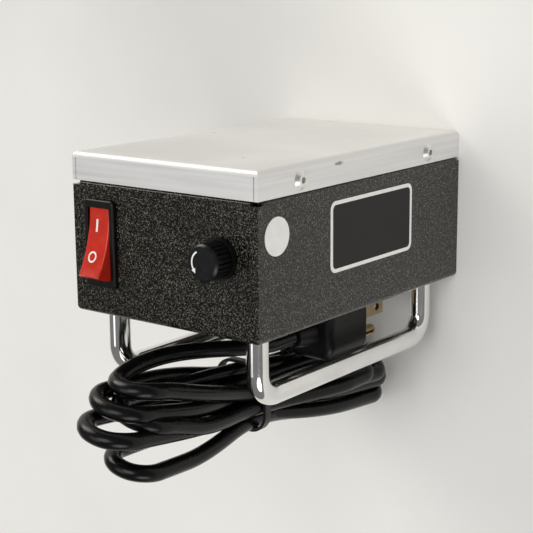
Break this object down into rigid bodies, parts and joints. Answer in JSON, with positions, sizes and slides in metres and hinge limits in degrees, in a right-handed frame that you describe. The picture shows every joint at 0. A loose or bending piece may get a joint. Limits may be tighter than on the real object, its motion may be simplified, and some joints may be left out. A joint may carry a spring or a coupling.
{
  "type": "bulk tape eraser",
  "caption": "Hand-held magnetic bulk eraser: a steel box with a riveted aluminium pole cover, two bar handles, a rocker switch, a fuse holder and a folded mains cord.",
  "frame": {"origin": "on the floor under the box, midway across the box and midway between the outside of the pole cover and the outside of the handles", "axes": "+Z along the box's length to the switch panel, +Y out of the handle side, -Y out of the pole cover, +X to the switch's side"},
  "size_m": [0.0874, 0.1192, 0.1686],
  "materials": {
    "black_paint": "black wrinkle paint with a fine grey speckle, semi-matt",
    "cover_aluminium": "satin, faintly brushed, a few fine scratches",
    "rivet_metal": "bright, drawn",
    "handle_chrome": "polished chrome plate",
    "zinc_steel": "zinc plated, dull",
    "lamination_steel": "stacked sheets, dark oxide",
    "bobbin_nylon": "natural nylon",
    "winding_copper": "enamelled copper wire, glossy",
    "coil_tape": "yellow polyester tape",
    "black_moulding": "satin black moulding",
    "red_rocker": "glossy, slightly translucent red",
    "contact_brass": "stamped brass",
    "fuse_cap_black": "satin black moulding",
    "fuse_glass": "clear glass",
    "nickel": "nickel plated",
    "relief_rubber": "matt black",
    "cord_jacket": "satin black jacket",
    "tie_plastic": "black nylon strap",
    "plug_moulding": "satin black moulding"
  },
  "bodies": {
    "housing": {"tray": "black_paint", "pole_cover": "cover_aluminium", "cover_rivets": "rivet_metal", "handle_left": "handle_chrome", "handle_right": "handle_chrome", "handle_screws": "zinc_steel", "handle_washers": "zinc_steel", "core_stack": "lamination_steel", "core_bracket_left": "zinc_steel", "core_bracket_right": "zinc_steel", "core_bolts": "zinc_steel", "core_nuts": "zinc_steel", "foot_screws": "zinc_steel", "foot_nuts": "zinc_steel", "coil_bobbin": "bobbin_nylon", "coil_winding": "winding_copper", "coil_tape": "coil_tape", "switch_housing": "black_moulding", "switch_terminals": "contact_brass", "fuse_holder": "black_moulding", "fuse_nut": "black_moulding", "fuse_terminals": "contact_brass", "strain_relief": "relief_rubber", "cord_lead": "cord_jacket", "cord_hank": "cord_jacket", "cord_tie": "tie_plastic", "cord_tail": "cord_jacket", "plug_body": "plug_moulding", "plug_prongs": "contact_brass"},
    "rocker": {"rocker": "red_rocker"},
    "contact_lever": {"contact_lever": "contact_brass"},
    "fuse_cap": {"fuse_cap": "fuse_cap_black"},
    "fuse_link": {"fuse_glass": "fuse_glass", "fuse_ends": "nickel"}
  },
  "joints": [
    {"name": "rocker_tilt", "type": "hinge", "parent": "housing", "child": "rocker", "pos_m": [0.0286, -0.01075, 0.13], "axis": [-1, 0, 0], "range_deg": [0, 32]},
    {"name": "lever_tilt", "type": "hinge", "parent": "housing", "child": "contact_lever", "pos_m": [0.0286, -0.01075, 0.1198], "axis": [-1, 0, 0], "range_deg": [-10, 0]},
    {"name": "fuse_rise", "type": "slide", "parent": "housing", "child": "fuse_link", "axis": [0, 0, 1], "range_m": [0, 0.003]},
    {"name": "fuse_turn", "type": "hinge", "parent": "fuse_link", "child": "fuse_cap", "pos_m": [-0.0265, -0.01225, 0.1352], "axis": [0, 0, 1], "range_deg": [0, 720]}
  ],
  "couplings": [
    {"joint": "lever_tilt", "follows": "rocker_tilt", "ratio": -0.3125},
    {"joint": "fuse_turn", "follows": "fuse_rise", "rad_per_m": 4188.8}
  ]
}
